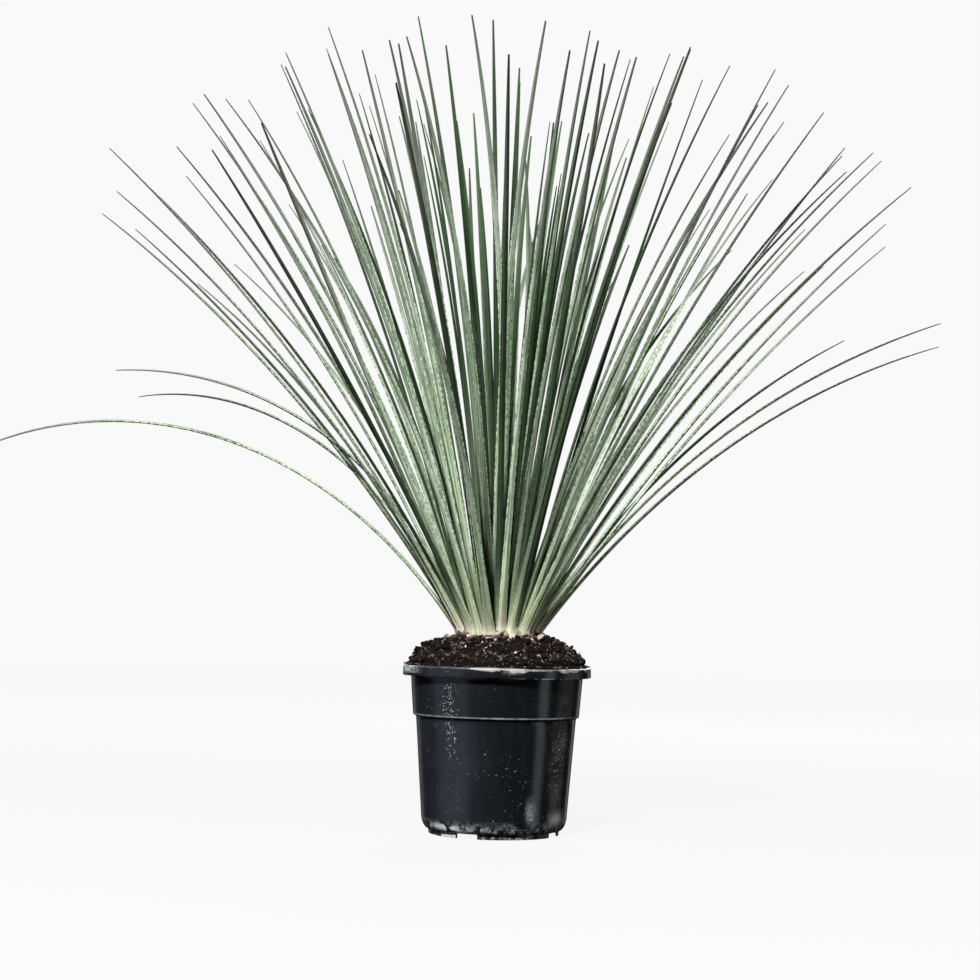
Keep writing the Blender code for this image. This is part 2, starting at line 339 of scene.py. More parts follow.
def pot_finish():
    plastic = Finish("scuffed black plastic")
    place = plastic.place()
    x, y, height = (plastic.node("ShaderNodeSeparateXYZ", {}, {0: place}, output=axis) for axis in "XYZ")
    turn = plastic.maths("ARCTAN2", x, 0 - y)  # from the front, to the right
    clouds = plastic.mottle(place, 22, 4)
    patches = plastic.mottle(place, 60, 3)
    grain = plastic.mottle(place, 420, 3, 0.6)
    runs = plastic.mottle(plastic.stretched(place, (1, 1, 0.12)), 140, 3)
    waves = plastic.mottle(place, 60, 4)
    flakes = plastic.mottle(place, 170, 3)

    def area(middle_turn, turn_reach, middle_height, height_reach):
        """1 in the middle of an area of the wall, fading to 0 at its reach each way."""
        return turn.near(middle_turn, turn_reach) * height.near(middle_height, height_reach)

    # Hard-water specks: a splash down the left of the front, others low down and round the right.
    splash = turn.near(-0.58, 0.24) * height.rise(0.05, 0.10) + area(-0.50, 0.12, 0.033, 0.012)
    splash += 1.2 * area(0.95, 0.35, 0.085, 0.06) + 0.45 * patches.rise(0.55, 0.68)
    splash += area(0.50, 0.16, 0.024, 0.012)
    splash *= 1 - 0.85 * height.rise(POT_HEIGHT - 0.012, POT_HEIGHT - 0.009)
    cells = {"Vector": place, "Scale": SPECK_FINENESS}
    spot = plastic.node("ShaderNodeTexVoronoi", {}, cells, output="Distance")
    chance = plastic.node("ShaderNodeTexVoronoi", {}, cells, output="Color")
    chance = plastic.node("ShaderNodeSeparateXYZ", {}, {0: chance})
    specks = (0.40 * splash.rise(0.1, 1) * chance * chance - spot).rise(-0.03, 0.04)
    fine_specks = grain.rise(0.66, 0.72) * clouds.rise(0.42, 0.6)

    # A worn, muddy lip with a painted highlight along its top edge, a run of dried mud below it, and a pale
    # line at the step that is crust and a painted highlight.
    worn = 0.0010 + 0.0030 * turn.rise(-0.4, 0.1) * waves.rise(0.35, 0.65)
    lip_mud_and_highlight = (height - (POT_HEIGHT - EDGE) + worn).rise(-0.0007, 0.0004)
    lip_mud_and_highlight *= (0.30 + 0.70 * turn.rise(-0.45, 0.0)) * (0.45 + 0.55 * waves.rise(0.42, 0.56))
    drip = turn.near(0.15, 0.15) * height.rise(POT_HEIGHT - 0.0075, POT_HEIGHT - 0.0040)
    under_lip = height.near(POT_HEIGHT - LIP_DROP - 0.0010, 0.0016) * patches.rise(0.47, 0.56)
    step_crust_and_highlight = height.near(STEP_HEIGHT + 0.0004, 0.0017) * (0.55 + 0.45 * runs.rise(0.40, 0.60))
    mud_and_highlight = lip_mud_and_highlight * (0.55 + 0.45 * grain.rise(0.35, 0.55))
    mud_and_highlight += 0.6 * drip * flakes.rise(0.35, 0.60) + 0.8 * step_crust_and_highlight

    # Lime at the foot, thickest at the left, on the lip at the far left, and as a haze at the right.
    low = 1 - height.rise(0.006, 0.020)
    foot = low * (0.25 * runs.rise(0.40, 0.60) + 0.6 * flakes.rise(0.50, 0.62))
    foot *= 0.3 + 0.7 * grain.rise(0.4, 0.6)
    foot += 1.5 * turn.near(-0.75, 0.45) * (1 - height.rise(0.008, 0.016)) * flakes.rise(0.44, 0.52)
    foot += 0.35 * area(0.50, 0.11, 0.028, 0.018) * (0.4 + 0.6 * flakes.rise(0.45, 0.60))
    foot += 0.70 * area(1.02, 0.28, 0.018, 0.013)
    splashed_lip = turn.near(-1.25, 0.40) * height.rise(POT_HEIGHT - 0.009, POT_HEIGHT - 0.006)
    splashed_lip *= (0.45 * flakes + 0.55 * grain).rise(0.34, 0.60)
    haze = 0.09 * turn.near(0.98, 0.33) * patches.rise(0.45, 0.62) * (0.3 + 0.7 * grain.rise(0.40, 0.60))
    lime = specks + haze + 0.45 * fine_specks + 0.7 * under_lip + 0.8 * foot + 0.9 * splashed_lip

    # The plastic has bloomed, and a painted sheen lightens it, towards the left, less so on the collar.
    bloom_and_sheen = (1.05 - turn.rise(-0.55, 0.15)) * (0.55 + 0.45 * clouds.rise(0.35, 0.70))
    bloom_and_sheen += 0.15 * runs.rise(0.45, 0.65)
    bloom_and_sheen *= 1 - 0.4 * height.rise(STEP_HEIGHT - 0.002, STEP_HEIGHT + 0.002)
    colour = plastic.blend(bloom_and_sheen, BLACK_PLASTIC, BLOOM_AND_SHEEN_PLASTIC)
    colour = plastic.blend(mud_and_highlight, colour, MUD_AND_HIGHLIGHT_GREY)
    colour = plastic.blend(lime, colour, DRIED_LIME)
    crust_and_highlight = (mud_and_highlight + lime).rise(0, 1)
    roughness = 0.17 + 0.12 * bloom_and_sheen + 0.45 * crust_and_highlight
    relief = 0.45 * crust_and_highlight * grain + 0.10 * patches + 0.05 * grain
    return plastic.surface(colour, roughness, relief, 0.0006, 0.8)


pot_wall = turned("nursery_pot", with_rings(pot_profile(), RING_SPACING), POT_SEGMENTS)
nursery_pot = place("nursery_pot", pot_wall, pot_finish())
for shapes in (drain_holes(), skirt_notches()):
    cut(nursery_pot, shapes)
warp(nursery_pot.data)
nursery_pot.data.shade_smooth()
nursery_pot.data.set_sharp_from_angle(angle=math.radians(40))
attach(nursery_pot, "root")
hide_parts("pot")


# --------------------------------------------------------------------------------------------------------
# The potting soil: moist dark peat, filled to the lip and heaped up to the plant. This is its body, with
# a lumpy surface. The loose crumbs, chips and grains on top of it come last, as they do on the bench.
# --------------------------------------------------------------------------------------------------------

SEAT_GAP = 0.0003
MOUND_RADIUS = 0.0885
MOUND_EDGE = 0.172
MOUND_TOP = 0.1985
MOUND_STEEPENING = 3.5
MOUND_RINGS = 60
SOIL_SEGMENTS = 240
CROWN_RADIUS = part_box("crown")[1].x
CROWN_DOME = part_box("crown")[1].z - MOUND_TOP
CROWN_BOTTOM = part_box("crown")[0].z
CROWN_WAIST = 0.86
WAIST_SHARE = 0.4
CROWN_ROOT = 0.55
LUMPS = ((0.0110, 0.0024), (0.0040, 0.0014), (0.0014, 0.0004))  # spacing and height
LUMP_SPREAD = 0.6  # how far a lump also leans outwards, as a share of its height

DAMP_PEAT = (0.0022, 0.0013, 0.0011)
DRY_PEAT = (0.0076, 0.0047, 0.0040)
PEAT_FIBRE = (0.080, 0.054, 0.046)


def mound_height(radius):
    out = min(radius, MOUND_RADIUS) / MOUND_RADIUS
    return MOUND_EDGE + (MOUND_TOP - MOUND_EDGE) * (1 - out**MOUND_STEEPENING)


def lumpiness(x, y):
    """How far the loose surface stands above or below the even mound at a place."""
    return sum(height * noise.noise(Vector((x, y, 0)) / spacing) for spacing, height in LUMPS)


def crown_side(gap):
    """The buried side of the crown, from its root end up to the top of the soil, moved out by gap."""
    return [
        (CROWN_RADIUS * CROWN_ROOT + gap, CROWN_BOTTOM),
        (CROWN_RADIUS * CROWN_WAIST + gap, CROWN_BOTTOM + WAIST_SHARE * (MOUND_TOP - CROWN_BOTTOM)),
        (CROWN_RADIUS + gap, MOUND_TOP),
    ]


def soil_mesh():
    rim = CROWN_RADIUS + SEAT_GAP
    mound = [(radius, mound_height(radius)) for radius in np.linspace(rim, MOUND_RADIUS, MOUND_RINGS)[1:]]
    over_lip = POT_HEIGHT + SEAT_GAP
    edge = [(MOUND_RADIUS, over_lip), (COLLAR_TOP_RADIUS - WALL - SEAT_GAP, over_lip)]
    profile = [(0, CROWN_BOTTOM - SEAT_GAP), *crown_side(SEAT_GAP), *mound, *edge, *pot_lining(SEAT_GAP)]
    mesh = turned("soil_body", profile, SOIL_SEGMENTS)
    for vertex in mesh.vertices:
        radius = math.hypot(vertex.co.x, vertex.co.y)
        if vertex.co.z > over_lip + EDGE and radius > rim + EDGE:
            lift = lumpiness(vertex.co.x, vertex.co.y)
            spread = 1 + LUMP_SPREAD * lift / radius
            lifted = max(over_lip + EDGE, vertex.co.z + lift)
            vertex.co = (vertex.co.x * spread, vertex.co.y * spread, lifted)
    mesh.shade_smooth()
    return mesh


def peat_finish():
    peat = Finish("moist peat")
    place = peat.place()
    crumbs = peat.mottle(place, 420, 5, 0.7)
    patches = peat.mottle(place, 90, 3)
    fibres = peat.mottle(peat.stretched(place, (1, 0.25, 1)), 1500, 2)
    dryness = (1.3 * crumbs + 0.5 * patches - 0.45).rise(0.25, 0.75)
    colour = peat.blend(dryness, DAMP_PEAT, DRY_PEAT)
    colour = peat.blend(0.5 * fibres.rise(0.66, 0.72), colour, PEAT_FIBRE)
    return peat.surface(colour, 0.80 + 0.15 * dryness, crumbs, 0.0020, 0.05)


moist_peat = peat_finish()
soil_body = place("soil_body", soil_mesh(), moist_peat)
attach(soil_body, "root")
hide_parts("potting_soil")


# --------------------------------------------------------------------------------------------------------
# The crown: the short stem that carries the leaves, nearly all of it buried or behind their bases. What
# shows is dull, fibrous and straw-coloured, with the ribs of old leaf scars round it.
# --------------------------------------------------------------------------------------------------------

CROWN_RIBS = 5
RIB_HEIGHT = 0.0008
STRAND_HEIGHT = 0.0006

OLD_SCAR = (0.040, 0.032, 0.018)
STRAW_BARK = (0.190, 0.170, 0.100)


def crown_mesh():
    dome = arc((0, MOUND_TOP), (CROWN_RADIUS, CROWN_DOME), 0, 90, 24)[1:]
    dome[-1] = (0, MOUND_TOP + CROWN_DOME)
    mesh = turned("crown_stem", [(0, CROWN_BOTTOM), *with_rings(crown_side(0), 0.004), *dome], 96)
    for vertex in mesh.vertices:
        if vertex.co.z > CROWN_BOTTOM + EDGE:
            up = (vertex.co.z - CROWN_BOTTOM) / (MOUND_TOP + CROWN_DOME - CROWN_BOTTOM)
            around = math.atan2(vertex.co.y, vertex.co.x)
            rib = abs(math.sin(math.pi * CROWN_RIBS * up + 0.4 * math.sin(5 * around))) - 1
            strand = noise.noise(Vector((10 * around, 0, 6 * up))) - 1
            outwards = (vertex.co - Vector((0, 0, CROWN_BOTTOM))).normalized()
            vertex.co += outwards * (RIB_HEIGHT * rib + STRAND_HEIGHT * strand)
    mesh.shade_smooth()
    return mesh


def bark_finish():
    bark = Finish("fibrous stem")
    place = bark.place()
    strands = bark.mottle(bark.stretched(place, (1, 1, 0.15)), 900, 4)
    rings = bark.mottle(bark.stretched(place, (0.2, 0.2, 1)), 500, 2)
    worn = (0.6 * strands + 0.4 * rings).rise(0.35, 0.65)
    colour = bark.blend(worn, OLD_SCAR, STRAW_BARK)
    return bark.surface(colour, 0.75 + 0.15 * worn, 0.7 * strands + 0.3 * rings, 0.0012)


crown_stem = place("crown_stem", crown_mesh(), bark_finish())
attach(crown_stem, "root")
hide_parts("crown")


# --------------------------------------------------------------------------------------------------------
# The rosette: stiff, narrow leaves that wind up the crown by the golden angle. Each is a tapered blade, a
# flattened diamond in section and ribbed along its length, with painted shade in the grooves between the
# ribs, a broad pale base, small pale teeth along its margins that carry painted highlights, and a dry needle
# tip. Painted shade darkens the younger, inner leaves, the feet of all but the oldest, and a few leaves of
# any age.
# --------------------------------------------------------------------------------------------------------

LEAVES = sum(name.startswith("leaf_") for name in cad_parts)
GOLDEN_ANGLE = math.pi * (3 - math.sqrt(5))
DOME_REACH = math.radians(80)
LEAN_MAX = math.radians(38.5)
LEAN_POWER = 1.5  # above 1 it gathers the younger leaves towards the axis
FLATTENED = 0.12  # the rosette leans this much less to the front and back
LEAF_LENGTH = 0.588
PRIME_AGE = 0.53  # leaves are longest at this age
LENGTH_LOSS = 0.17  # away from it
GROWN_AGE = 0.45  # younger leaves are still growing
YOUNG_LOSS = 0.13  # what the very youngest still lacks, as a share of its length
BLADE_WIDTH = 0.0042
BASE_FLARE = 0.0045  # on the oldest leaves; the youngest have none
FLARE_REACH = 0.10  # as a share of the length
TIP_WIDTH = 0.0017
BLADE_THICKNESS = 0.55  # as a share of the width
BASE_BEND = math.radians(3)
AGE_BEND = math.radians(16.5)
BEND_POWER = 1.2
NEEDLE_POWER = 5  # how late the blade narrows
LEAF_STATIONS = 44
STATION_CROWDING = 1.15  # 1 would space them evenly; above it they crowd towards the base
SEAT_STEP = 0.0001  # each step that a base slides outwards until it is clear of the dome
SHEATH_STATIONS = 3
SHEATH_LENGTH = 0.010
SHEATH_WIDENING = 12  # for each metre down the sheath, as a share of the width
SHEATH_THINNING = 20  # the same for its thickness
FACE_SWELL = 0.56  # 0.5 makes a blade's four faces flat

# What chance adds to each leaf, from the least to the most: angles in degrees, and a share of the length.
AZIMUTH_CHANCE = (-2.5, 2.5)
LEAN_CHANCE = (-1.5, 1.5)
BEND_CHANCE = (-3, 5)
LENGTH_CHANCE = (-0.015, 0.015)
TWIST_CHANCE = (-18, 18)
TURN_CHANCE = (-6, 6)
BLADE_SEED = 1000

# Leaves that have sunk outwards, by number: (lean at the base, bend, length).
SUNK_LEAVES = {
    51: (36, 80, 0.610),
    38: (22, 73, 0.460),
    43: (31, 64, 0.530),
    55: (37, 36, 0.510),
    47: (36, 37, 0.505),
    42: (35, 27, 0.468),
}

LEAF_SHADES = (  # along the leaf, from its base to its tip
    (0.000, (0.420, 0.350, 0.270)),
    (0.008, (0.380, 0.400, 0.250)),
    (0.035, (0.310, 0.380, 0.215)),
    (0.150, (0.300, 0.395, 0.255)),
    (0.480, (0.215, 0.285, 0.190)),
    (0.780, (0.143, 0.157, 0.134)),
    (0.930, (0.100, 0.101, 0.092)),
    (1.000, (0.050, 0.042, 0.032)),
)
FOLD_GREEN = (0.030, 0.062, 0.022)
# The green of painted shade in the grooves between the ribs.
RIB_GROOVE_SHADE = (0.014, 0.036, 0.009)
WAX_BLOOM = (0.320, 0.370, 0.320)
MARGIN_GREEN = (0.016, 0.034, 0.011)
# Pale teeth, also painted highlights where the teeth catch the light.
PALE_TEETH_AND_GLINTS = (0.430, 0.480, 0.360)
# Painted shade: the greens that darken the feet of the leaves, the inner leaves and a few others.
FOOT_SHADE_GREEN = (0.030, 0.048, 0.018)
INNER_SHADE_GREEN = (0.018, 0.046, 0.014)
SHADOWED_LEAF_GREEN = (0.004, 0.015, 0.003)


def growth(age):
    """The share of its full length that a leaf has reached: the youngest are still growing."""
    return 1 - YOUNG_LOSS * max(0, 1 - age / GROWN_AGE)


def leaf_habit(number):
    """How leaf `number` grows: (azimuth, age, lean, bend, length). Leaf 0 is the youngest; age runs to 1."""
    chance = random.Random(number)
    age = math.sqrt((number + 0.5) / LEAVES)
    azimuth = number * GOLDEN_ANGLE + math.radians(chance.uniform(*AZIMUTH_CHANCE))
    if number in SUNK_LEAVES:
        lean, bend, length = SUNK_LEAVES[number]
        return azimuth, age, math.radians(lean), math.radians(bend), length
    narrowing = 1 - FLATTENED * math.sin(azimuth) ** 2
    lean = LEAN_MAX * age**LEAN_POWER * narrowing + math.radians(chance.uniform(*LEAN_CHANCE))
    bend = BASE_BEND + AGE_BEND * age + math.radians(chance.uniform(*BEND_CHANCE))
    vigour = 1 - LENGTH_LOSS * (age - PRIME_AGE) ** 2 + chance.uniform(*LENGTH_CHANCE)
    return azimuth, age, lean, bend, LEAF_LENGTH * growth(age) * vigour


def leaf_width(share, age):
    flare = BASE_FLARE * age * np.exp(-share / FLARE_REACH)
    return TIP_WIDTH + BLADE_WIDTH * (1 - share**NEEDLE_POWER) + flare


def leaf_directions(azimuth, lean):
    """Unit vectors along the leaf, across its blade and through its thickness."""
    azimuth, lean = np.broadcast_arrays(azimuth, lean)
    along = np.stack([np.cos(azimuth) * np.sin(lean), np.sin(azimuth) * np.sin(lean), np.cos(lean)], -1)
    across = np.stack([-np.sin(azimuth), np.cos(azimuth), np.zeros_like(azimuth)], -1)
    return along, across, np.cross(along, across)


def leaf_seat(azimuth, age, lean):
    """Where the leaf's base lies on the dome, slid outwards until its whole foot is clear of it."""
    along, across, through = leaf_directions(azimuth, lean)
    wide = across * leaf_width(0, age) / 2
    thick = through * leaf_width(0, age) / 2 * BLADE_THICKNESS
    corners = [0 * wide, wide, thick, -wide, -thick]
    face_middles = [(wide + thick) / 2, (thick - wide) / 2, -(wide + thick) / 2, (wide - thick) / 2]
    foot = np.array(corners + face_middles)
    dome_angle = DOME_REACH * age
    out = CROWN_RADIUS * math.sin(dome_angle)
    up = MOUND_TOP + CROWN_DOME * math.cos(dome_angle)
    seat = np.array([out * math.cos(azimuth), out * math.sin(azimuth), up])
    while True:
        x, y, z = (foot + seat).T
        reach = np.sqrt((x**2 + y**2) / CROWN_RADIUS**2 + ((z - MOUND_TOP) / CROWN_DOME) ** 2)
        if (reach.min() - 1) * CROWN_DOME >= SEAT_GAP:
            return seat
        seat = seat + along * SEAT_STEP


def leaf_route(habit, swing, stations):
    """Shares of the length, points and directions along a leaf, which drifts sideways by swing at its tip."""
    azimuth, age, lean, bend, length = habit
    share = np.linspace(0, 1, stations) ** STATION_CROWDING
    middle = (share[1:] + share[:-1]) / 2
    steps = leaf_directions(azimuth + swing * middle, lean + bend * middle**BEND_POWER)[0]
    steps = steps * (length * np.diff(share))[:, None]
    points = leaf_seat(azimuth, age, lean) + np.vstack([np.zeros(3), np.cumsum(steps, 0)])
    return share, points, leaf_directions(azimuth + swing * share, lean + bend * share**BEND_POWER)


def blade(habit, swing, chance):
    """One leaf as vertices, faces, and what its finish needs to know of each vertex."""
    age, length = habit[1], habit[4]
    share, points, (along, across, through) = leaf_route(habit, swing, LEAF_STATIONS)
    width = leaf_width(share, age)
    thickness = BLADE_THICKNESS * width

    # The sheath, the broad thin foot that clasps the crown.
    depth = np.linspace(SHEATH_LENGTH, 0, SHEATH_STATIONS, endpoint=False)
    downwards = -0.2 * along[0] - np.array([0, 0, 0.8])
    points = np.vstack([points[0] + downwards * depth[:, None] * age, points])
    width = np.concatenate([width[0] * (1 + SHEATH_WIDENING * depth), width])
    thickness = np.concatenate([thickness[0] * (1 - SHEATH_THINNING * depth), thickness])
    share = np.concatenate([-depth / length, share])
    across = np.vstack([np.repeat(across[:1], SHEATH_STATIONS, 0), across])
    through = np.vstack([np.repeat(through[:1], SHEATH_STATIONS, 0), through])

    twist = math.radians(chance.uniform(*TWIST_CHANCE)) * share + math.radians(chance.uniform(*TURN_CHANCE))
    cos, sin = np.cos(twist)[:, None], np.sin(twist)[:, None]
    wide = (across * cos + through * sin) * width[:, None] / 2
    thick = (through * cos - across * sin) * thickness[:, None] / 2
    corners = [wide, thick, -wide, -thick]
    sides = []
    for start, end in zip(corners, corners[1:] + corners[:1]):
        sides += [points + start, points + (start + end) * FACE_SWELL]
    rings = np.stack(sides, 1)
    count, around = rings.shape[:2]
    faces = [tuple(range(around))[::-1], tuple(range((count - 1) * around, count * around))]
    for start in range(0, (count - 1) * around, around):
        for i in range(around):
            after = (i + 1) % around
            faces.append((start + i, start + after, start + after + around, start + i + around))
    known = {
        "share": np.repeat(share, around),
        "across": np.tile([1, 0.5, 0, -0.5, -1, -0.5, 0, 0.5], count),
        "tint": np.full(count * around, chance.random()),
        "age": np.full(count * around, age),
    }
    return rings.reshape(-1, 3), faces, known


def leaves_mesh(name, blades):
    """Joins blades into one mesh, in which each stays a closed body of its own."""
    faces = []
    start = 0
    for vertices, of_blade, _ in blades:
        faces += [[start + index for index in face] for face in of_blade]
        start += len(vertices)
    mesh = bpy.data.meshes.new(name)
    mesh.from_pydata(np.vstack([vertices for vertices, _, _ in blades]).tolist(), [], faces)
    for key in blades[0][2]:
        values = np.concatenate([known[key] for _, _, known in blades])
        mesh.attributes.new(key, "FLOAT", "POINT").data.foreach_set("value", values)
    mesh.shade_smooth()
    mesh.set_sharp_from_angle(angle=math.radians(38))
    return mesh


def leaf_finish():
    leaf = Finish("waxy sotol leaf")
    place = leaf.place()
    share, across, tint, age = (leaf.known(attribute) for attribute in ("share", "across", "tint", "age"))

    def grid(over, along, apart):
        """A place on the leaf that runs over its blade and along its length, set apart from other leaves."""
        return leaf.node("ShaderNodeCombineXYZ", {}, {0: over, 1: along * share, 2: apart * tint})

    strips = grid(9 * across + 50 * tint, 14, 20)
    ribs = leaf.mottle(strips, 1.6, 3, 0.6)
    streaks = leaf.mottle(leaf.stretched(strips, (0.3, 0.5, 1)), 1.2, 2)
    clouds = leaf.mottle(place, 55, 4)
    folds = leaf.mottle(grid(2.2 * across + 50 * tint, 5, 20), 1.3, 2, 0.6)
    teeth = leaf.mottle(grid(2 * across, 190, 40), 1, 1).rise(0.44, 0.56)

    colour = leaf.shades(share + 0.05 * (streaks - 0.5) + 0.03 * (tint - 0.5), LEAF_SHADES)
    before_tip = 1 - 0.5 * share.rise(0.55, 0.95)
    green_part = share.rise(-0.03, 0.19) * before_tip
    colour = leaf.blend((0.40 + 0.35 * green_part) * folds.rise(0.46, 0.60), colour, FOLD_GREEN)
    # Painted shade in the grooves between the ribs.
    colour = leaf.blend(0.40 * ribs.rise(0.40, 0.70), colour, RIB_GROOVE_SHADE)
    wax = 0.35 * clouds.rise(0.40, 0.70) * (1 - share.rise(0.45, 0.95))
    colour = leaf.blend(wax, colour, WAX_BLOOM)
    # The margins: darker between the teeth, and pale teeth with painted highlights on them.
    margin = abs(across).rise(0.38, 0.95) * share.rise(-0.05, 0.20) * (1 - share.rise(0.5, 0.9))
    colour = leaf.blend(0.60 * margin * (1 - teeth), colour, MARGIN_GREEN)
    colour = leaf.blend(0.75 * margin * teeth, colour, PALE_TEETH_AND_GLINTS)

    # Painted shade: the feet of all but the oldest leaves, the younger leaves near the axis, and a few leaves
    # of any age are darkened, as the older leaves round them would shade them.
    painted_foot_shade = (1 - age.rise(0.66, 0.90)) * (1 - share.rise(0.03, 0.15))
    colour = leaf.blend(0.60 * painted_foot_shade, colour, FOOT_SHADE_GREEN)
    inner_leaf_shade = (1 - age.rise(0.30, 0.74)) * (0.45 * share.rise(-0.03, 0.19) + 0.55 * share.rise(0.30, 0.75))
    colour = leaf.blend(0.85 * inner_leaf_shade, colour, INNER_SHADE_GREEN)
    shaded_leaves = share.rise(-0.02, 0.12) * before_tip * (tint + 0.25 * inner_leaf_shade).rise(0.62, 0.82)
    colour = leaf.blend(0.92 * shaded_leaves, colour, SHADOWED_LEAF_GREEN)
    return leaf.surface(colour, 0.46 + 0.18 * clouds + 0.10 * ribs, ribs, 0.0003, 0.07)


sotol_leaf = leaf_finish()
grown = [(leaf_habit(number), 0) for number in range(LEAVES)]
for number, (habit, swing) in enumerate(grown):
    name = f"sotol_leaf_{number + 1:02d}"
    one_blade = blade(habit, swing, random.Random(number + BLADE_SEED))
    leaf = place(name, leaves_mesh(name, [one_blade]), sotol_leaf)
    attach(leaf, "root")
    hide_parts(f"leaf_{number + 1:02d}")


# --------------------------------------------------------------------------------------------------------
# The leaves in between: a rosette of this age has some 140 leaves, so eighty-two more fill the gaps
# between the ones above. Each tries ways to grow until one passes clear of the leaves already there, and
# keeps the roomiest if none does.
# --------------------------------------------------------------------------------------------------------

BETWEEN_LEAVES = 82
LEAVES_PER_PIECE = 10
CLEARANCE = 0.0035
CROWDED = 0.10  # below this share of the length, leaf bases press on each other
TRIES = 14
ROUTE_SAMPLES = 130

# Their habit is freer than that of the leaves above, and the youngest are shorter still.
BETWEEN_OLDEST = 0.99
BETWEEN_AZIMUTH_CHANCE = (-14, 14)
BETWEEN_LEAN_CHANCE = (-4, 3.5)
BETWEEN_BEND_CHANCE = (-5, 5)
BETWEEN_LENGTH_CHANCE = (-0.04, 0.015)
YOUNG_SHORTNESS = 3
STUNTED = 0.08  # the share of them that has stayed short
STUNTED_LENGTH = (0.72, 0.92)  # as a share of the length that it would have
SWING_CHANCE = (-27, 27)
HABIT_SEED = 5000
SEEDS_PER_LEAF = 100
BETWEEN_BLADE_SEED = 2000


def between_habit(number, attempt):
    chance = random.Random(HABIT_SEED + number * SEEDS_PER_LEAF + attempt)
    age = BETWEEN_OLDEST * math.sqrt((number + 0.5) / BETWEEN_LEAVES)
    azimuth = (number + 0.5) * GOLDEN_ANGLE + math.radians(chance.uniform(*BETWEEN_AZIMUTH_CHANCE))
    narrowing = 1 - FLATTENED * math.sin(azimuth) ** 2
    lean = LEAN_MAX * age**LEAN_POWER * narrowing + math.radians(chance.uniform(*BETWEEN_LEAN_CHANCE))
    bend = BASE_BEND + AGE_BEND * age + math.radians(chance.uniform(*BETWEEN_BEND_CHANCE))
    vigour = 1 - LENGTH_LOSS * (age - PRIME_AGE) ** 2 + chance.uniform(*BETWEEN_LENGTH_CHANCE)
    length = LEAF_LENGTH * growth(age) ** YOUNG_SHORTNESS * vigour
    if chance.random() < STUNTED:
        length *= chance.uniform(*STUNTED_LENGTH)
    return (azimuth, age, lean, bend, length), math.radians(chance.uniform(*SWING_CHANCE))


def open_stretch(habit, swing):
    """Points along a leaf where it stands free of the crowd at its base."""
    share, points, _ = leaf_route(habit, swing, ROUTE_SAMPLES)
    return points[share > CROWDED]


def room_for(points, tree):
    return min(tree.find(point)[2] for point in points)


def tree_of(points):
    tree = kdtree.KDTree(len(points))
    for index, point in enumerate(points):
        tree.insert(point, index)
    tree.balance()
    return tree


stretches = [open_stretch(habit, swing) for habit, swing in grown]
between = []
for number in range(BETWEEN_LEAVES):
    tree = tree_of(np.vstack(stretches))
    best_room = -1
    for attempt in range(TRIES):
        habit, swing = between_habit(number, attempt)
        stretch = open_stretch(habit, swing)
        room = room_for(stretch[::3], tree)
        if room > best_room:
            best_room, best = room, (habit, swing, stretch)
        if room > CLEARANCE:
            break
    habit, swing, stretch = best
    stretches.append(stretch)
    between.append(blade(habit, swing, random.Random(number + BETWEEN_BLADE_SEED)))

for first in range(0, BETWEEN_LEAVES, LEAVES_PER_PIECE):
    name = f"between_leaves_{first // LEAVES_PER_PIECE + 1:02d}"
    leaves = place(name, leaves_mesh(name, between[first : first + LEAVES_PER_PIECE]), sotol_leaf)
    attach(leaves, "root")


# --------------------------------------------------------------------------------------------------------
# The loose top of the soil: crumbs of peat, flat chips of bark, the driest of them against the leaf
# bases, and a few grains of perlite. They lie as they fell, some of them on the lip.
# --------------------------------------------------------------------------------------------------------

PEAT_SHADES = (
    (0.0, (0.0015, 0.0008, 0.0008)),
    (0.5, (0.004, 0.0024, 0.002)),
    (0.86, (0.0080, 0.0050, 0.0042)),
    (1.0, (0.072, 0.051, 0.044)),
)
BARK_SHADES = (
    (0.0, (0.008, 0.005, 0.004)),
    (0.5, (0.020, 0.013, 0.012)),
    (0.85, (0.085, 0.060, 0.052)),
    (1.0, (0.300, 0.250, 0.215)),
)
DRY_BARK_SHADES = (
    (0.0, (0.030, 0.020, 0.018)),
    (0.5, (0.110, 0.078, 0.068)),
    (1.0, (0.330, 0.270, 0.230)),
)
PERLITE_SHADES = ((0.0, (0.30, 0.29, 0.27)), (1.0, (0.50, 0.50, 0.48)))
SMALLNESS = 2.5  # above 1, more of the bits are small ones
UNEVENNESS = (0.78, 1.12)
TILT = 0.45


def lump_shape(fineness):
    """A unit lump, with 12 corners at fineness 1 and 42 at 2."""
    form = bmesh.new()
    bmesh.ops.create_icosphere(form, subdivisions=fineness, radius=1)
    corners = np.array([corner.co[:] for corner in form.verts])
    faces = np.array([[corner.index for corner in face.verts] for face in form.faces])
    form.free()
    return corners, faces


